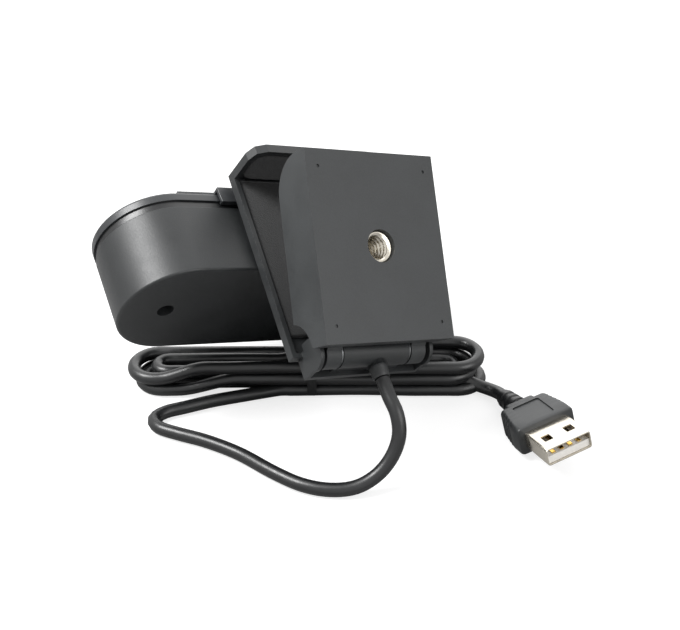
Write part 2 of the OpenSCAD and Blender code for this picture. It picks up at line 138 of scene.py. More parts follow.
@dataclass(frozen=True)
class Finish:
    """A real material. Its pattern is worked out from sizes in millimetres.

    Attributes:
        name: what the material is.
        colour: its colour, as sRGB hex.
        roughness: its middle roughness.
        metallic: 1 for a metal.
        ior: its index of refraction. A metal keeps the default.
        grain_mm: the size of its grain.
        grain_depth_mm: how far the grain stands up.
        mottle: how far its colour strays either way.
        streaks: whether its grain is drawn out, as grinding leaves it.
        coat: the weight of a clear coat.
        sheen: the weight of a nap's sheen.
        clear: how much light passes through it.
    """

    name: str
    colour: str
    roughness: float
    metallic: float = 0.0
    ior: float = 1.5
    grain_mm: float = 0.35
    grain_depth_mm: float = 0.02
    mottle: float = 0.12
    streaks: bool = False
    coat: float = 0.0
    sheen: float = 0.0
    clear: float = 0.0

    def build(self) -> bpy.types.Material:
        """Makes the material once, and gives the same one after that.

        Returns:
            The material.
        """
        known = bpy.data.materials.get(self.name)
        if known:
            return known
        made = bpy.data.materials.new(self.name)
        made.use_nodes = True
        tree = made.node_tree
        shader = tree.nodes["Principled BSDF"]
        shader.inputs["Metallic"].default_value = self.metallic
        if self.metallic < 1:
            shader.inputs["IOR"].default_value = self.ior
        shader.inputs["Coat Weight"].default_value = self.coat
        shader.inputs["Sheen Weight"].default_value = self.sheen
        shader.inputs["Transmission Weight"].default_value = self.clear
        where = add(tree, "ShaderNodeTexCoord")
        stretch = (1.0, 1.0, STREAK) if self.streaks else (1.0, 1.0, 1.0)
        spread = add(tree, "ShaderNodeMapping", {"Vector": where.outputs["Object"], "Scale": stretch})
        grain = add(tree, "ShaderNodeTexNoise", {"Vector": spread.outputs["Vector"],
            "Scale": 1 / (self.grain_mm * MM), "Detail": 3.0, "Roughness": 0.6})
        patches = add(tree, "ShaderNodeTexNoise", {"Vector": where.outputs["Object"],
            "Scale": 1 / (PATCH * MM), "Detail": 4.0})
        blend = add(tree, "ShaderNodeMath", {0: grain.outputs["Fac"], 1: patches.outputs["Fac"]})
        dark, light = (tuple(c * (1 + s * self.mottle) for c in linear(self.colour)[:3]) for s in (-1, 1))
        tint = add(tree, "ShaderNodeMapRange",
            {"Value": blend.outputs[0], "From Min": 0.75, "From Max": 1.25})
        mix = add(tree, "ShaderNodeMix", {0: tint.outputs["Result"], 6: (*dark, 1), 7: (*light, 1)},
            data_type="RGBA")
        tree.links.new(mix.outputs[2], shader.inputs["Base Color"])
        rough = add(tree, "ShaderNodeMapRange", {"Value": blend.outputs[0], "From Min": 0.7, "From Max": 1.3,
            "To Min": max(self.roughness - ROUGHNESS_SPREAD, 0.02),
            "To Max": min(self.roughness + ROUGHNESS_SPREAD, 1)})
        tree.links.new(rough.outputs["Result"], shader.inputs["Roughness"])
        bump = add(tree, "ShaderNodeBump", {"Height": grain.outputs["Fac"], "Strength": 1.0,
            "Distance": self.grain_depth_mm * MM})
        tree.links.new(bump.outputs["Normal"], shader.inputs["Normal"])
        return made


# ABS moulded in a spark-eroded steel tool: an even fine grain that breaks up every highlight
# The housing, clip and foot are the same ABS. The foot's lighter colour is painted light on its lit face, and
# the housing's darker colour is painted shade on the head's back.
HOUSING_ABS_PAINTED_SHADE = Finish("moulded_abs_housing_painted_shade", "#1c1e1f", 0.46, ior=1.53, mottle=0.2)
CLIP_ABS = Finish("moulded_abs_clip", "#222425", 0.46, ior=1.53, mottle=0.2)
FOOT_ABS_PAINTED_LIGHT = Finish("moulded_abs_foot_painted_light", "#2d2f30", 0.5, ior=1.53, mottle=0.2)
# The same plastic from a smoother tool, so the band and the cover read darker and tighter
BAND_ABS = Finish("moulded_abs_band", "#101112", 0.34, ior=1.53, grain_depth_mm=0.006)
COVER_ABS = Finish("moulded_abs_cover", "#27292b", 0.38, ior=1.53, grain_depth_mm=0.01)
# ABS moulded flat black round the lens, so that the inside stays dark
INNER_ABS = Finish("moulded_abs_flat_black", "#0f1011", 0.6, ior=1.53)
# Closed-cell foam with a napped skin: the nap scatters light at a grazing view. It is drawn coarser than
# real nap, which is too fine to show.
FELTED_FOAM = Finish("felted_foam", "#0c0d0e", 0.95, ior=1.45, grain_mm=0.28, grain_depth_mm=0.12,
    mottle=0.5, sheen=0.35)
# Rubber moulded in a blasted tool: dull, with hardly any highlight
GRIP_RUBBER = Finish("moulded_rubber_grip", "#1d1e1f", 0.75, ior=1.52, grain_mm=0.4)
# Plasticised PVC, extruded over the cores: long soft highlights with faint unevenness
PVC_SHEATH = Finish("extruded_pvc_sheath", "#151617", 0.36, ior=1.54, grain_mm=1.6, grain_depth_mm=0.03)
# The same PVC moulded over the sheath: a little duller, with the tool's fine grain
PVC_OVERMOULD = Finish("overmoulded_pvc", "#1d1f20", 0.42, ior=1.54)
# A wire coated with soft PVC and pressed flat: near black, with short blurred highlights
TWIST_STRIP = Finish("coated_twist_strip", "#0a0b0c", 0.45, ior=1.5, grain_mm=0.6)
# Nickel plate over stamped steel or turned brass: warm, bright, with faint rolling marks
NICKEL_PLATE = Finish("nickel_plate", "#cfc9bd", 0.24, metallic=1, grain_mm=0.5, grain_depth_mm=0.002,
    mottle=0.04)
# A gold flash over nickel on stamped contacts: yellow and even
GOLD_PLATE = Finish("gold_plate", "#d9b25c", 0.25, metallic=1, grain_depth_mm=0.001, mottle=0.04)
# Steel screws with bright zinc: grey, with broken highlights
ZINC_STEEL = Finish("zinc_plated_steel", "#8f9193", 0.35, metallic=1, grain_depth_mm=0.004)
# Steel pins and washers, ground: fine streaks that draw the highlight out
GROUND_STEEL = Finish("ground_steel", "#a2a4a6", 0.3, metallic=1, grain_mm=0.3, grain_depth_mm=0.003,
    streaks=True)
# Turned aluminium, anodised grey: a satin ring with a soft highlight
ANODISED_RING = Finish("anodised_aluminium", "#6a6c6e", 0.32, metallic=1, grain_depth_mm=0.003)
# PBT moulded round the contacts: clean white with a low shine
WHITE_PBT = Finish("moulded_pbt_white", "#efece6", 0.4, ior=1.55, grain_depth_mm=0.005, mottle=0.03)
# Solder mask printed and cured on glass epoxy: green under a clear gloss
SOLDER_MASK = Finish("solder_mask_board", "#1f5a36", 0.35, ior=1.5, grain_mm=1.2, coat=0.4)
# Fired ceramic: an even dark grey
CHIP_CERAMIC = Finish("chip_ceramic", "#3d4046", 0.4, ior=1.6)
# Acrylic moulded in polished tools: no grain, clear for the light pipes and smoked over the lens
CLEAR_ACRYLIC = Finish("clear_acrylic", "#d8dde0", 0.08, ior=1.49, grain_depth_mm=0.0, mottle=0.01,
    clear=0.9)
SMOKED_ACRYLIC = Finish("smoked_acrylic", "#0c0e10", 0.06, ior=1.49, grain_depth_mm=0.0, mottle=0.02)
# Polished optical glass with a coating that turns its reflections blue
COATED_LENS = Finish("coated_optical_glass", "#1a2236", 0.04, ior=1.62, grain_depth_mm=0.0,
    mottle=0.05, coat=1.0)


# ---- Mesh making ----

Point = tuple[float, float, float]
# A shape's points, in millimetres, and its faces
Shape = tuple[list, list]


def lofted(rings: list[list[Point]], caps: bool = True, closed: bool = False) -> Shape:
    """Joins rings of equal size with faces.

    Args:
        rings: the rings, each a list of points in millimetres.
        caps: whether the first and last ring are filled.
        closed: whether the last ring joins the first.

    Returns:
        The points and the faces.
    """
    n, m = len(rings[0]), len(rings)
    points = [p for ring in rings for p in ring]
    faces = [(i * n + k, i * n + (k + 1) % n, (i + 1) % m * n + (k + 1) % n, (i + 1) % m * n + k)
        for i in range(m if closed else m - 1) for k in range(n)]
    if caps:
        faces += [tuple(reversed(range(n))), tuple(range((m - 1) * n, m * n))]
    return points, faces


def rounded_rectangle(width: float, height: float, radius: float,
        steps: int = 5) -> list[tuple[float, float]]:
    """Points of a rectangle with round corners, about its middle.

    Args:
        width: its full width.
        height: its full height.
        radius: its corners' radius.
        steps: how many parts a corner's arc has.

    Returns:
        The points, anticlockwise.
    """
    points = []
    for corner in range(4):
        sx, sy = ((1, 1), (-1, 1), (-1, -1), (1, -1))[corner]
        for k in range(steps + 1):
            a = math.pi / 2 * (corner + k / steps)
            points.append((sx * (width / 2 - radius) + radius * math.cos(a),
                sy * (height / 2 - radius) + radius * math.sin(a)))
    return points


def make(name: str, shape: Shape, axes: Matrix, finish: Finish, body: Body,
        replaces: tuple[str, ...]) -> bpy.types.Object:
    """Makes one piece from points and faces.

    Args:
        name: the piece's name.
        shape: its points in millimetres and its faces.
        axes: the axes that the points are in.
        finish: its finish.
        body: the body that it rides on.
        replaces: the solids that it stands for.

    Returns:
        The piece.
    """
    mesh = bpy.data.meshes.new(name)
    mesh.from_pydata([Vector(p) * MM for p in shape[0]], [], shape[1])
    mesh.transform(axes)
    mesh.validate()
    mesh.polygons.foreach_set("use_smooth", [True] * len(mesh.polygons))
    piece = bpy.data.objects.new(name, mesh)
    bpy.context.scene.collection.objects.link(piece)
    mesh.materials.append(finish.build())
    mesh.set_sharp_from_angle(angle=math.radians(SHARP_ANGLE))
    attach(piece, body.value)
    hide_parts(*replaces)
    log.info("made %s, %d points", name, len(shape[0]))
    return piece


def even_normals(piece: bpy.types.Object) -> None:
    """Weighs a piece's normals by its faces, so that flats beside a round are shaded flat.

    Args:
        piece: the piece.
    """
    even = piece.modifiers.new("even_faces", "WEIGHTED_NORMAL")
    even.keep_sharp = True
    even.weight = 100


def soften_edges(piece: bpy.types.Object, width: float) -> None:
    """Puts a small round on a piece's sharp edges, as a mould or a tumbler leaves.

    Args:
        piece: the piece.
        width: the round's width in millimetres.
    """
    joint = piece.modifiers.new("weld", "WELD")
    joint.merge_threshold = WELD * MM
    bevel = piece.modifiers.new("soft_edges", "BEVEL")
    bevel.width = width * MM
    bevel.segments = 3
    bevel.limit_method = "ANGLE"
    bevel.angle_limit = math.radians(ROUND_ANGLE)
    bevel.use_clamp_overlap = True
    even_normals(piece)


def merged(*shapes: Shape) -> Shape:
    """Puts several shapes together.

    Args:
        shapes: the shapes.

    Returns:
        All their points and all their faces.
    """
    points: list = []
    faces: list = []
    for more_points, more_faces in shapes:
        faces += [tuple(i + len(points) for i in f) for f in more_faces]
        points += more_points
    return points, faces


def smooth_path(route: list[Vector], step: float) -> list[Vector]:
    """Samples a smooth curve through a route's points.

    Args:
        route: the points.
        step: the distance between samples, about.

    Returns:
        The samples, the route's ends among them.
    """
    made = []
    for i in range(len(route) - 1):
        a, b = route[max(i - 1, 0)], route[i]
        c, d = route[i + 1], route[min(i + 2, len(route) - 1)]
        count = max(1, round((c - b).length / step))
        for k in range(count):
            t = k / count
            made.append(0.5 * (2 * b + (c - a) * t + (2 * a - 5 * b + 4 * c - d) * t * t
                + (3 * b - a - 3 * c + d) * t**3))
    return [*made, route[-1]]


# ---- Sub-assemblies ----


@dataclass
class CarriedPieces:
    """The pieces whose solids are kept, with their finishes and edge rounds in millimetres."""

    finishes: dict[str, tuple[Finish, float]] = field(default_factory=lambda: {
        "front_frame": (BAND_ABS, 0.15),
        "lens_ring": (ANODISED_RING, 0.15), "lens_window": (SMOKED_ACRYLIC, 0.0),
        "lens_barrel": (INNER_ABS, 0.0), "lens_glass": (COATED_LENS, 0.0),
        "lens_holder": (INNER_ABS, 0.0), "main_board": (SOLDER_MASK, 0.0),
        "image_sensor": (CHIP_CERAMIC, 0.0), "microphones": (ZINC_STEEL, 0.1),
        "light_pipes": (CLEAR_ACRYLIC, 0.0), "housing_screws": (ZINC_STEEL, 0.1),
        "tilt_pin": (GROUND_STEEL, 0.0), "privacy_shutter": (COVER_ABS, 0.2),
        "clip_plate": (CLIP_ABS, 0.25), "neck_lug": (CLIP_ABS, 0.3), "neck_screws": (ZINC_STEEL, 0.1),
        "hinge_pins": (GROUND_STEEL, 0.15), "friction_washers": (GROUND_STEEL, 0.0),
        "foot_shell": (FOOT_ABS_PAINTED_LIGHT, 0.55), "foot_cover": (FOOT_ABS_PAINTED_LIGHT, 0.15),
        "foot_grip": (GRIP_RUBBER, 0.2), "foot_screws": (ZINC_STEEL, 0.1),
        "cable_gland": (PVC_OVERMOULD, 0.2), "plug_insert": (WHITE_PBT, 0.0),
        "plug_contacts": (GOLD_PLATE, 0.05)})

    def dress(self) -> None:
        """Gives each kept solid its finish and its soft edges."""
        for name, (finish, width) in self.finishes.items():
            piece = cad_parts[name]
            piece.data.materials.clear()
            piece.data.materials.append(finish.build())
            if width:
                soften_edges(piece, width)
            log.info("dressed %s in %s", name, finish.name)


@dataclass
class HeadShells:
    """The moulded rear housing and front cover of the head, in millimetres, as the part has them."""

    height: float = 32.0
    arc_x: float = 32.5
    housing_depth: float = 19.0
    cover_back: float = 21.0
    front: float = 23.5
    wall: float = 1.6
    well_x: float = 36.9
    well_d: float = 4.2
    lens_z: float = -2.0
    ring_d: float = 19.3
    window_d: float = 12.0
    mic_x: float = 24.0
    light_x: float = 13.0
    # The room inside, the wells' floor, and the neck's slot: half its width, its ends, and its cutter's
    # height over the inside
    bay_x: float = 30.6
    well_floor: float = 5.9
    slot_x: float = 8.0
    slot_near: float = 6.0
    slot_far: float = 15.2
    slot_rise: float = 4.0
    # The cover's holes, and how deep the lens ring lies in it
    mic_d: float = 0.9
    mic_pitch: float = 2.0
    light_d: float = 2.3
    ring_depth: float = 1.6
    # Edge rounds, back and front
    housing_rounds: tuple[float, float] = (0.7, 0.25)
    cover_rounds: tuple[float, float] = (0.12, 0.85)
    # How far a cutter stands past a face, its corners, and the parts of an end arc and of a round hole
    past: float = 1.0
    corner: float = 0.6
    arc_steps: int = 28
    sides: int = 40

    def outline(self, inset: float, depth: float) -> list[Point]:
        """Makes one ring of the head's outline.

        Args:
            inset: how far it is pulled in.
            depth: how deep it lies.

        Returns:
            Its points.
        """
        radius, steps = self.height / 2 - inset, self.arc_steps
        points = []
        for side in (1, -1):
            for k in range(steps + 1):
                a = math.pi * (k / steps - 0.5)
                across = self.arc_x + radius * math.cos(a)
                points.append((side * across, depth, side * radius * math.sin(a)))
        return points

    def rod(self, diameter: float, x: float, z: float, low: float, high: float) -> Shape:
        """Makes a round rod along the head's depth.

        Args:
            diameter: its diameter.
            x: its place along the head.
            z: its place up the head.
            low: the depth of its first end.
            high: the depth of its last end.

        Returns:
            The points and the faces.
        """
        turns = [math.tau * k / self.sides for k in range(self.sides)]
        return lofted([[(x + diameter / 2 * math.cos(a), y, z - diameter / 2 * math.sin(a))
            for a in turns] for y in (low, high)])

    def block(self, x: tuple[float, float], y: tuple[float, float], z: tuple[float, float]) -> Shape:
        """Makes an upright block.

        Args:
            x: its limits along the head.
            y: its limits in depth.
            z: its limits up the head.

        Returns:
            The points and the faces.
        """
        middle, width, height = (x[0] + x[1]) / 2, x[1] - x[0], z[1] - z[0]
        return lofted([[(middle + a, depth, (z[0] + z[1]) / 2 - b)
            for a, b in rounded_rectangle(width, height, self.corner)] for depth in y])

    def rounded(self, back: float, front: float, back_round: float, front_round: float) -> Shape:
        """Makes a slab of the head's outline with round edges.

        Args:
            back: the depth of its back face.
            front: the depth of its front face.
            back_round: the radius of its back edge.
            front_round: the radius of its front edge.

        Returns:
            The points and the faces.
        """
        steps = [math.pi / 2 * k / 6 for k in range(7)]
        rings = [self.outline(back_round * (1 - math.sin(a)), back + back_round * (1 - math.cos(a)))
            for a in steps]
        rings += [self.outline(front_round * (1 - math.cos(a)), front - front_round * (1 - math.sin(a)))
            for a in steps]
        return lofted(rings)

    def build(self) -> None:
        """Makes the housing and the cover, with their wells, holes and openings."""
        shape = self.rounded(0, self.housing_depth, *self.housing_rounds)
        housing = make("rear_housing_shell", shape, HEAD_AXES, HOUSING_ABS_PAINTED_SHADE, Body.HEAD, ("rear_housing",))
        inner = self.height / 2 - self.wall
        cut_with(housing, HEAD_AXES, [
            self.block((-self.bay_x, self.bay_x), (self.wall, self.housing_depth + self.past), (-inner, inner)),
            *[self.rod(self.well_d, side * self.well_x, 0, -self.past, self.well_floor) for side in (-1, 1)]])
        cut_with(housing, HEAD_AXES, [self.block((-self.slot_x, self.slot_x), (self.slot_near, self.slot_far),
            (inner - self.past, inner + self.slot_rise))])
        shape = self.rounded(self.cover_back, self.front, *self.cover_rounds)
        cover = make("front_cover_panel", shape, HEAD_AXES, COVER_ABS, Body.HEAD, ("front_cover",))
        behind, before = self.cover_back - self.past, self.front + self.past
        step = self.mic_pitch
        holes = [self.rod(self.mic_d, side * self.mic_x + step * i, step * j, behind, before)
            for side in (-1, 1) for i in range(-2, 3) for j in range(-1, 2)]
        holes += [self.rod(self.light_d, side * self.light_x, self.lens_z, behind, before) for side in (-1, 1)]
        holes.append(self.rod(self.ring_d, 0, self.lens_z, self.front - self.ring_depth, before))
        cut_with(cover, HEAD_AXES, holes)
        cut_with(cover, HEAD_AXES, [self.rod(self.window_d, 0, self.lens_z, behind, self.front)])
        even_normals(housing)
        even_normals(cover)


@dataclass
class Pads:
    """The felted foam in the clip's tray and on its lip. Sizes repeat the part's own, in millimetres."""

    width: float = 35.3
    floor_low: float = 6.8
    floor_high: float = 50.45
    floor_z: float = -4.3
    thickness: float = 0.7
    lip_y: float = 51.4
    lip_low: float = -3.45
    lip_high: float = 6.75
    floor_corner: float = 0.6
    lip_corner: float = 3.4
    # The pad's upper edge: how far it is pulled in at each share of its thickness
    edge: tuple[tuple[float, float], ...] = ((0.0, 0.0), (0.0, 0.55), (0.2, 0.85), (0.6, 1.0))

    def sheet(self, low: float, high: float, corner: float) -> Shape:
        """Makes a pad with soft upper edges.

        Args:
            low: where the pad starts along its length.
            high: where it ends.
            corner: the radius of its far corners.

        Returns:
            The points, as width, length and rise, and the faces.
        """
        middle, length = (low + high) / 2, high - low
        rings = []
        for inset, rise in self.edge:
            height = rise * self.thickness
            rings.append([(x - math.copysign(inset, x), middle + y - math.copysign(inset, y), height)
                for x, y in rounded_rectangle(self.width, length, corner, 6)])
        return lofted(rings)

    def build(self) -> None:
        """Makes the two pads."""
        points, faces = self.sheet(self.floor_low, self.floor_high, self.floor_corner)
        floor = [(x, y, self.floor_z + z) for x, y, z in points]
        pad = make("plate_pad_foam", (floor, faces), CLIP_AXES, FELTED_FOAM, Body.CLIP, ("plate_pad",))
        points, faces = self.sheet(self.lip_low, self.lip_high, self.lip_corner)
        lip = [(x, self.lip_y - z, y) for x, y, z in points]
        pad = make("lip_pad_foam", (lip, [tuple(reversed(f)) for f in faces]), CLIP_AXES, FELTED_FOAM,
            Body.CLIP, ("lip_pad",))


@dataclass
class ThreadInsert:
    """The threaded metal insert in the foot, a 1/4 inch thread of 20 turns an inch, in millimetres."""

    outer: float = 7.8
    major: float = 6.35
    pitch: float = 1.27
    depth: float = 0.55
    low: float = 0.1
    mouth: float = 8.6
    middle: float = 23.35
    sides: int = 56
    # The floor under the thread, its plain start, its rings a turn, and the hole in the floor
    floor: float = 1.2
    lead_in: float = 0.3
    rings_a_turn: int = 10
    hole: float = 0.4

    def wall(self) -> list[list[Point]]:
        """Makes the bore's threaded wall.

        Returns:
            Its rings, from its floor to its mouth.
        """
        rings = []
        start, stop = self.low + self.floor, self.mouth - self.lead_in
        count = int((stop - start) / self.pitch * self.rings_a_turn)
        for i in range(count + 1):
            z = start + (stop - start) * i / count
            ring = []
            for k in range(self.sides):
                turn = (z / self.pitch - k / self.sides) % 1
                rise = 1 - abs(2 * turn - 1)
                radius = self.major / 2 - self.depth * min(1, 1.25 * rise)
                a = 2 * math.pi * k / self.sides
                ring.append((radius * math.cos(a), self.middle + radius * math.sin(a), z))
            rings.append(ring)
        return rings

    def ring(self, radius: float, z: float) -> list[Point]:
        """Makes a plain ring of the insert at a radius and a height."""
        return [(radius * math.cos(2 * math.pi * k / self.sides),
            self.middle + radius * math.sin(2 * math.pi * k / self.sides), z) for k in range(self.sides)]

    def build(self) -> None:
        """Makes the insert as one closed turned piece."""
        out = self.outer / 2 - 0.02
        rings = [self.ring(self.hole, self.low + self.floor), *self.wall(),
            self.ring(self.major / 2 + 0.02, self.mouth - 0.05), self.ring(self.major / 2 + 0.2, self.mouth),
            self.ring(out - 0.25, self.mouth), self.ring(out, self.mouth - 0.2), self.ring(out, self.low),
            self.ring(self.hole, self.low)]
        points, faces = lofted(rings)
        make("thread_insert_turned", (points, [tuple(reversed(f)) for f in faces]), FOOT_AXES, NICKEL_PLATE,
            Body.FOOT, ("thread_insert",))


@dataclass
class Lead:
    """The lead in one length: round the front, through the hank's turns and out to the plug, in millimetres."""

    diameter: float = 3.4
    left: float = -33.5
    right: float = 46.5
    stagger: tuple[float, ...] = (0.0, 2.6, 0.8, 3.6)
    front: tuple[Point, ...] = (
        (25.5, -33.6, 22.6), (26.9, -37, 20.2), (28.7, -40.3, 17.3), (29.2, -42.6, 13),
        (27.6, -44.5, 8.4), (24.2, -46.5, 4.6), (19.3, -48.2, 2.4), (13.3, -48.4, 1.75),
        (6.8, -46.6, 1.75), (0, -42.1, 1.75), (-8.7, -35, 1.75), (-17, -30.1, 1.75),
        (-24.4, -27, 1.75), (-29.4, -24.5, 1.75), (-31.2, -21, 1.75), (-28.8, -17.9, 1.75),
        (-24, -15.8, 1.75), (-17.3, -13, 1.75), (-9.6, -10.6, 1.75), (-5, -9.2, 1.75))
    tail: tuple[Point, ...] = ((47.5, -5, 3.2), (51, -6.1, 2.3), (53.6, -7.2, 1.9), (55.6, -8.7, 2),
        (57, -10.6, 2.4), (57.7, -12.6, 2.8))
    # Rows of the hank, each the place across it and the height
    near_out: tuple[tuple[float, float], ...] = ((-7.8, 1.7), (-7.8, 5.1), (-7.8, 8.5))
    near_in: tuple[tuple[float, float], ...] = ((-4.4, 1.7), (-4.4, 5.1))
    far_in: tuple[tuple[float, float], ...] = ((1.4, 1.7), (1.4, 5.1))
    far_out: tuple[tuple[float, float], ...] = ((4.8, 1.7), (4.8, 5.1), (4.8, 8.5))
    # The distance between points on a run, on an end and on the finished line
    run_step: float = 2.5
    end_step: float = 2.2
    line_step: float = 1.2
    # How far a run wanders, how fast, and how much that shifts from run to run
    wander: float = 0.22
    wander_rate: float = 0.09
    wander_shift: float = 1.9

    def runs(self) -> list[tuple]:
        """Lists the hank's runs, by turns rightward and leftward.

        Returns:
            For each run, its row at its start, its row at its end, and between which places it changes.
        """
        near, far = self.near_out, self.far_out
        return [
            ((-7.8, 1.75), near[0], (-4, 4)), (far[0], far[0], (0, 1)),
            (near[0], near[1], (-27, -10)), (far[1], far[1], (0, 1)),
            (near[1], near[2], (-32, -19)), (far[2], self.far_in[1], (14, -1)),
            (self.near_in[1], self.near_in[1], (0, 1)), (self.far_in[1], self.far_in[0], (12, -4)),
            (self.near_in[0], self.near_in[0], (0, 1))]

    def turns(self) -> list[Vector]:
        """Winds the hank: straight runs with a slight wander, joined by round ends.

        Returns:
            The points along it.
        """
        points: list[Vector] = []
        runs = self.runs()
        for i, (row, last, change) in enumerate(runs):
            rightward = i % 2 == 0
            left = self.left + self.stagger[(i + 1) // 2 % 4]
            right = self.right - self.stagger[i // 2 % 4]
            start, stop = (left, right) if rightward else (right, left)
            if i == 0:
                start = 0.0
            if i == len(runs) - 1:
                stop = self.tail[0][0] - 6
            count = max(4, round(abs(stop - start) / self.run_step))
            for k in range(count + 1):
                x = start + (stop - start) * k / count
                t = min(1, max(0, (x - change[0]) / (change[1] - change[0])))
                t = t * t * (3 - 2 * t)
                wander = (self.wander * math.sin(self.wander_rate * x + self.wander_shift * i)
                    * math.sin(math.pi * k / count))
                points.append(Vector((x, row[0] + (last[0] - row[0]) * t + wander * 0.6,
                    row[1] + (last[1] - row[1]) * t + abs(wander))))
            if i + 1 < len(runs):
                after = runs[i + 1][0]
                middle, radius = (last[0] + after[0]) / 2, abs(after[0] - last[0]) / 2
                steps = max(6, round(math.pi * radius / self.end_step))
                side = 1 if rightward else -1
                for k in range(1, steps):
                    a = math.pi * k / steps
                    points.append(Vector((stop + side * radius * math.sin(a),
                        middle - side * radius * math.cos(a), last[1] + (after[1] - last[1]) * k / steps)))
        return points

    def build(self, with_pieces: list) -> None:
        """Args:
            with_pieces: the separate pieces on it. Not used.
        """
        route = [Vector(p) for p in self.front] + self.turns() + [Vector(p) for p in self.tail]
        path = smooth_path(route, self.line_step)
        curve = bpy.data.curves.new("usb_lead", "CURVE")
        curve.dimensions = "3D"
        curve.bevel_depth = self.diameter / 2 * MM
        curve.bevel_resolution = 5
        curve.use_fill_caps = True
        spline = curve.splines.new("POLY")
        spline.points.add(len(path) - 1)
        for point, at in zip(spline.points, path):
            point.co = (*(at * MM), 1)
        spline.use_smooth = True
        curve.materials.append(PVC_SHEATH.build())
        lead = bpy.data.objects.new("usb_lead", curve)
        bpy.context.scene.collection.objects.link(lead)
        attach(lead, Body.CLIP.value)
        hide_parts("cable_front", "cable_hank", "cable_tail")


@dataclass
class Tie:
    """The twist strip round the hank, in millimetres."""

    at: float = 8.3
    width: float = 2.4
    thickness: float = 0.5
    near: float = -10.1
    far: float = 6.45
    top: float = 10.6
    low: float = 0.1
    corner: float = 2.6
    crown: float = 0.12

    def loop(self, inset: float) -> list[tuple[float, float]]:
        """Makes the strip's loop across the hank.

        Args:
            inset: how far it is pulled in.

        Returns:
            Its points, across and up.
        """
        width, height = self.far - self.near - 2 * inset, self.top - self.low - 2 * inset
        middle = ((self.far + self.near) / 2, (self.top + self.low) / 2)
        return [(middle[0] + y, middle[1] + z) for y, z in rounded_rectangle(width, height, self.corner, 7)]

    def build(self) -> bpy.types.Object:
        """Makes the strip, with a crown across its outer face.

        Returns:
            The strip.
        """
        half = self.width / 2
        corners = ((-half, self.crown), (-half * 0.6, 0.0), (half * 0.6, 0.0), (half, self.crown),
            (half, self.thickness), (-half, self.thickness))
        loops = [[(self.at + x, y, z) for y, z in self.loop(inset)] for x, inset in corners]
        return make("lead_tie_strip", lofted(loops, caps=False, closed=True), Matrix(), TWIST_STRIP,
            Body.CLIP, ("cable_tie",))


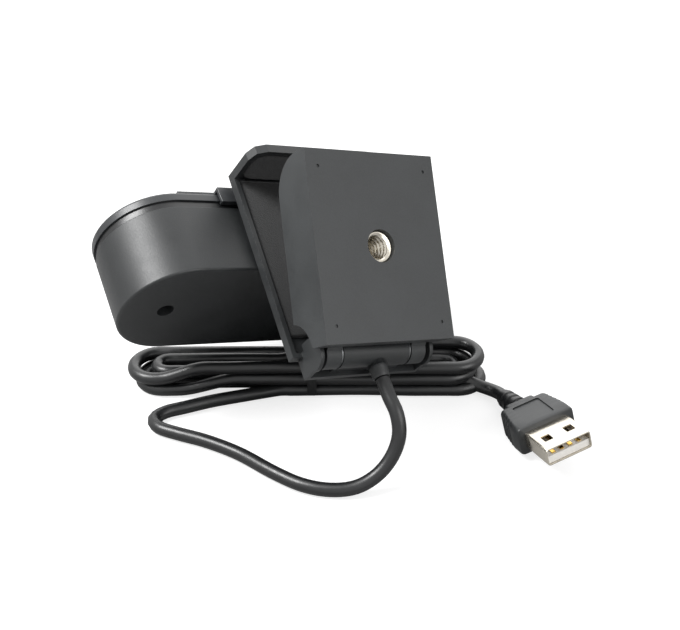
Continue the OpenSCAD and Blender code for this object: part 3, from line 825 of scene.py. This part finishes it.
@dataclass
class Plug:
    """The USB plug: moulded grip, ribbed boot, and a folded metal shell, in millimetres."""

    shell_width: float = 12.0
    shell_height: float = 4.5
    shell_length: float = 9.9
    sheet: float = 0.3
    body_length: float = 11.0
    body_width: float = 15.5
    back_width: float = 13.0
    body_height: float = 7.4
    neck_length: float = 2.5
    boot_length: float = 8.5
    # The grip's side ribs: how many, where the first starts, their distance, and how deep they are cut
    grip_ribs: int = 4
    rib_start: float = 4.3
    rib_pitch: float = 1.5
    rib_depth: float = 0.75
    grip_corner: float = 1.2
    # The bare oblong panel: its middle, length, width, corner and depth
    panel_at: float = -5.6
    panel_length: float = 8.2
    panel_width: float = 7.4
    panel_corner: float = 0.7
    panel_depth: float = 0.3
    # The boot's ribs: how many, their distance, the first one's radius and how much each is smaller
    boot_ribs: int = 3
    boot_pitch: float = 2.5
    boot_radius: float = 2.9
    boot_taper: float = 0.2
    boot_sides: int = 32
    # The latch windows in the metal shell: their middle, their place to either side, length and width
    latch_at: float = 5.45
    latch_side: float = 3.0
    latch_length: float = 2.5
    latch_width: float = 2.3

    def ring(self, x: float, width: float, height: float, radius: float) -> list[Point]:
        """Makes one rounded section across the plug."""
        return [(x, y, z) for y, z in rounded_rectangle(width, height, radius)]

    def grip(self) -> bpy.types.Object:
        """Makes the moulded grip, with side ribs and a stepped back.

        Returns:
            The grip.
        """
        back, wide, high, corner = -self.body_length, self.body_width, self.body_height, self.grip_corner
        rings = [self.ring(0.0, wide - 0.8, high - 0.8, 1.0), self.ring(-0.15, wide - 0.25, high - 0.25, 1.15),
            self.ring(-0.5, wide, high, corner), self.ring(-3.6, wide, high, corner)]
        for i in range(self.grip_ribs):
            x = -self.rib_start - self.rib_pitch * i
            share = (x + 4) / (back + 4)
            width = wide + (self.back_width - wide) * share
            rings += [self.ring(x, width - 0.1, high, corner),
                self.ring(x - 0.25, width - self.rib_depth, high - 0.02, 1.0),
                self.ring(x - 0.6, width - self.rib_depth, high - 0.02, 1.0),
                self.ring(x - 0.85, width - 0.2, high, corner)]
        rings += [self.ring(back + 0.45, self.back_width, high, corner),
            self.ring(back + 0.12, self.back_width - 0.3, high - 0.3, 1.1),
            self.ring(back, self.back_width - 1, high - 1, 0.9),
            self.ring(back, 9.2, high - 1.3, 1.3),
            self.ring(back - self.neck_length + 0.4, 8.6, high - 1.6, 1.3),
            self.ring(back - self.neck_length, 7.6, high - 2.4, 1.2)]
        piece = make("plug_grip", lofted(rings), PLUG_AXES, PVC_OVERMOULD, Body.CLIP, ("plug_body",))
        self.recess(piece)
        return piece

    def recess(self, piece: bpy.types.Object) -> None:
        """Sinks the bare oblong panel into the grip's top and bottom faces.

        Args:
            piece: the grip.
        """
        for side in (-1, 1):
            block = [self.panel(side * (self.body_height / 2 - self.panel_depth)),
                self.panel(side * (self.body_height / 2 + 0.5))]
            cut_with(piece, PLUG_AXES, [lofted(block if side > 0 else block[::-1])])

    def panel(self, z: float) -> list[Point]:
        """Makes the outline of the panel at a height."""
        return [(self.panel_at + a, b, z)
            for a, b in rounded_rectangle(self.panel_length, self.panel_width, self.panel_corner)]

    def boot(self) -> bpy.types.Object:
        """Makes the ribbed strain relief.

        Returns:
            The strain relief.
        """
        start = -self.body_length - self.neck_length
        profile = [(0.0, 2.75)]
        for i in range(self.boot_ribs):
            x = 0.7 + self.boot_pitch * i
            r = self.boot_radius - self.boot_taper * i
            profile += [(x, r - 0.35), (x + 0.15, r), (x + 1.2, r - 0.05), (x + 1.35, r - 0.4),
                (x + 2.2, r - 0.42)]
        profile += [(self.boot_length - 0.3, 2.1), (self.boot_length, 1.85)]
        turns = [2 * math.pi * k / self.boot_sides for k in range(self.boot_sides)]
        rings = [[(start - x, r * math.cos(a), r * math.sin(a)) for a in turns] for x, r in profile]
        return make("plug_strain_relief", lofted(rings), PLUG_AXES, PVC_SHEATH, Body.CLIP, ("plug_boot",))

    def shell(self) -> bpy.types.Object:
        """Makes the folded metal shell, with its two latch windows in each wide side.

        Returns:
            The shell.
        """
        end, wide, high, thin = self.shell_length, self.shell_width, self.shell_height, 2 * self.sheet
        rings = [self.ring(0, wide, high, 0.7), self.ring(end - 0.15, wide, high, 0.7),
            self.ring(end, wide - 0.15, high - 0.15, 0.65), self.ring(end, wide - thin, high - thin, 0.45),
            self.ring(0, wide - thin, high - thin, 0.45)]
        piece = make("plug_metal_shell", lofted(rings, caps=False, closed=True), PLUG_AXES, NICKEL_PLATE,
            Body.CLIP, ("plug_shell",))
        outline = rounded_rectangle(self.latch_length, self.latch_width, 0.2, 2)
        for z in (-1, 1):
            for y in (-self.latch_side, self.latch_side):
                box = [[(self.latch_at + a, y + b, z * high / 2 + c) for a, b in outline] for c in (-0.6, 0.6)]
                cut_with(piece, PLUG_AXES, [lofted(box)])
        return piece


def cut_with(piece: bpy.types.Object, axes: Matrix, shapes: list[Shape]) -> None:
    """Cuts shapes that don't touch each other out of a piece.

    Args:
        piece: the piece to cut.
        axes: the axes that the shapes' points are in.
        shapes: their points in millimetres and their faces.
    """
    mesh = bpy.data.meshes.new("cutter")
    points, faces = merged(*shapes)
    mesh.from_pydata([Vector(p) * MM for p in points], [], faces)
    mesh.transform(axes)
    cutter = bpy.data.objects.new("cutter", mesh)
    bpy.context.scene.collection.objects.link(cutter)
    carve(piece, cutter)


def carve(piece: bpy.types.Object, cutter: bpy.types.Object) -> None:
    """Cuts one closed shape out of a piece and removes the cutter.

    Args:
        piece: the piece to cut.
        cutter: the shape that is cut away.
    """
    cut = piece.modifiers.new("cut", "BOOLEAN")
    cut.operation = "DIFFERENCE"
    cut.solver = "EXACT"
    cut.object = cutter
    bpy.context.view_layer.update()
    graph = bpy.context.evaluated_depsgraph_get()
    mesh = bpy.data.meshes.new_from_object(piece.evaluated_get(graph))
    piece.modifiers.remove(cut)
    piece.data = mesh
    bpy.data.objects.remove(cutter)
    mesh.set_sharp_from_angle(angle=math.radians(SHARP_ANGLE))


@dataclass
class Studio:
    """The floor, the lights, the pale surroundings and the camera."""

    camera_at: Point = (15.6, -247.5, 168)
    pitch: float = 59.0
    lens: float = 58.76
    shift: float = 0.0026
    # Half the floor's side in metres, and where the lamps point, in millimetres
    reach: float = 3.0
    aim: Point = (10, -10, 30)

    def floor(self) -> None:
        """Lays a plain white floor that keeps the object's shadow."""
        mesh = bpy.data.meshes.new("floor")
        reach = self.reach
        mesh.from_pydata([(-reach, -reach, 0), (reach, -reach, 0), (reach, reach, 0), (-reach, reach, 0)], [],
            [(0, 1, 2, 3)])
        piece = bpy.data.objects.new("floor", mesh)
        bpy.context.scene.collection.objects.link(piece)
        made = bpy.data.materials.new("white_floor")
        made.use_nodes = True
        tree = made.node_tree
        tree.nodes.clear()
        path = add(tree, "ShaderNodeLightPath")
        matt = add(tree, "ShaderNodeBsdfDiffuse", {"Color": (0.9, 0.9, 0.9, 1)})
        bright = add(tree, "ShaderNodeMath", {0: path.outputs["Is Camera Ray"], 1: 1.25},
            operation="MULTIPLY")
        glow = add(tree, "ShaderNodeEmission", {"Strength": bright.outputs[0]})
        part = add(tree, "ShaderNodeMixShader", {0: 0.6, 1: matt.outputs[0], 2: glow.outputs[0]})
        end = add(tree, "ShaderNodeOutputMaterial")
        tree.links.new(part.outputs[0], end.inputs["Surface"])
        mesh.materials.append(made)

    def surroundings(self) -> None:
        """Makes the world white where it is seen and reflected, and soft where it lights."""
        world = bpy.data.worlds.new("studio")
        bpy.context.scene.world = world
        world.use_nodes = True
        tree = world.node_tree
        path = add(tree, "ShaderNodeLightPath")
        seen = add(tree, "ShaderNodeMath",
            {0: path.outputs["Is Camera Ray"], 1: path.outputs["Is Transmission Ray"]}, operation="MAXIMUM")
        mirrored = add(tree, "ShaderNodeMath", {0: seen.outputs[0], 1: path.outputs["Is Glossy Ray"]},
            operation="MAXIMUM")
        level = add(tree, "ShaderNodeMapRange", {"Value": mirrored.outputs[0], "To Min": 0.55, "To Max": 1.0})
        back = tree.nodes["Background"]
        back.inputs["Color"].default_value = (1, 1, 1, 1)
        tree.links.new(level.outputs["Result"], back.inputs["Strength"])

    def lamp(self, name: str, at: Point, size: float, power: float) -> None:
        """Hangs a soft square lamp that faces the object.

        Args:
            name: the lamp's name.
            at: its place in millimetres.
            size: its side in millimetres.
            power: its power in watts.
        """
        data = bpy.data.lights.new(name, "AREA")
        data.size = size * MM
        data.energy = power
        lamp = bpy.data.objects.new(name, data)
        bpy.context.scene.collection.objects.link(lamp)
        lamp.location = Vector(at) * MM
        toward = Vector(self.aim) * MM - lamp.location
        lamp.rotation_euler = toward.to_track_quat("-Z", "Y").to_euler()

    def camera(self) -> None:
        """Sets the camera at the product's viewing angle."""
        data = bpy.data.cameras.new("camera")
        data.lens = self.lens
        data.shift_y = self.shift
        data.clip_start = 0.01
        camera = bpy.data.objects.new("camera", data)
        bpy.context.scene.collection.objects.link(camera)
        camera.location = Vector(self.camera_at) * MM
        camera.rotation_euler = (math.radians(self.pitch), 0, 0)
        bpy.context.scene.camera = camera

    def build(self) -> None:
        """Sets up the whole studio."""
        self.camera()
        self.floor()
        self.surroundings()
        self.lamp("key", (-280, -60, 420), 220, 3.4)
        self.lamp("fill", (340, -260, 260), 300, 0.8)
        self.lamp("rim", (60, 480, 400), 800, 2.6)
        bpy.context.scene.view_settings.view_transform = "Standard"


def main() -> None:
    """Builds the studio and every piece, in order."""
    logging.basicConfig(level=logging.INFO, format="%(name)s: %(message)s")
    Studio().build()
    plug = Plug()
    plug_pieces = [plug.boot(), plug.grip(), plug.shell(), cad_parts["plug_insert"],
        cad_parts["plug_contacts"], Tie().build()]
    Lead().build(plug_pieces)
    CarriedPieces().dress()
    HeadShells().build()
    Pads().build()
    ThreadInsert().build()


if __name__ == "__main__":
    main()
